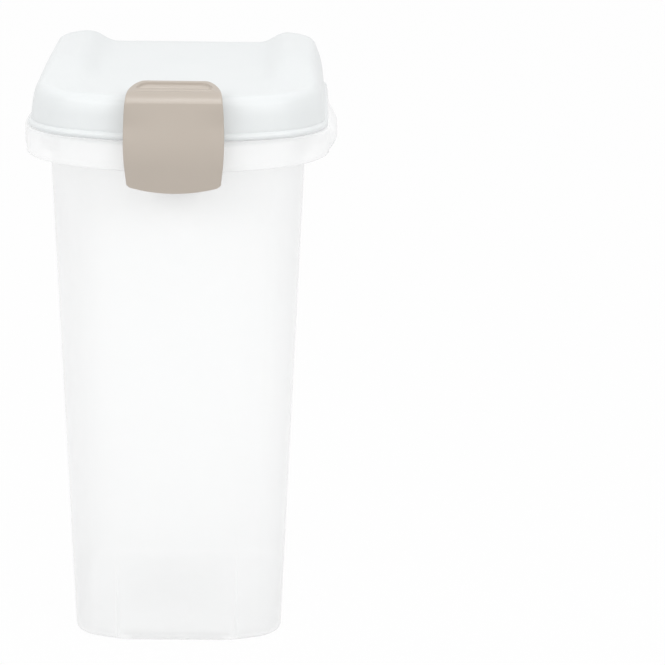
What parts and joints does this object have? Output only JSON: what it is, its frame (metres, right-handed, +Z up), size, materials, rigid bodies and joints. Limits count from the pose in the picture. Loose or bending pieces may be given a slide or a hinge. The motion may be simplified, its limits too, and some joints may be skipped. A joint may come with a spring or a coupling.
{
  "type": "pet food storage bin",
  "caption": "Tall translucent storage bin for dry pet food, with a hinged saddle-shaped lid, a seal and a bent front latch that snaps under the rim.",
  "frame": {"origin": "on the floor, under the middle of the bin's box", "axes": "+X to the bin's right seen from the front, +Y towards the rear hinge, +Z up; the latch faces -Y"},
  "size_m": [0.196, 0.2476, 0.3598],
  "materials": {
    "clear_plastic": "translucent polypropylene, satin gloss",
    "frosted_plastic": "milky translucent polypropylene, satin gloss",
    "soft_seal": "pale soft silicone",
    "taupe_plastic": "opaque taupe polypropylene, fine satin"
  },
  "bodies": {
    "bin": {"bin_body": "clear_plastic", "hinge_pin_left": "frosted_plastic", "hinge_pin_right": "frosted_plastic"},
    "lid": {"lid": "frosted_plastic", "lid_seal": "soft_seal", "latch_pin": "taupe_plastic"},
    "latch": {"front_latch": "taupe_plastic"}
  },
  "joints": [
    {"name": "lid_hinge", "type": "hinge", "parent": "bin", "child": "lid", "pos_m": [0, 0.121, 0.3195], "axis": [-1, 0, 0], "range_deg": [0, 105]},
    {"name": "latch_hinge", "type": "hinge", "parent": "lid", "child": "latch", "pos_m": [0, -0.093, 0.3549], "axis": [-1, 0, 0], "range_deg": [0, 95]}
  ]
}
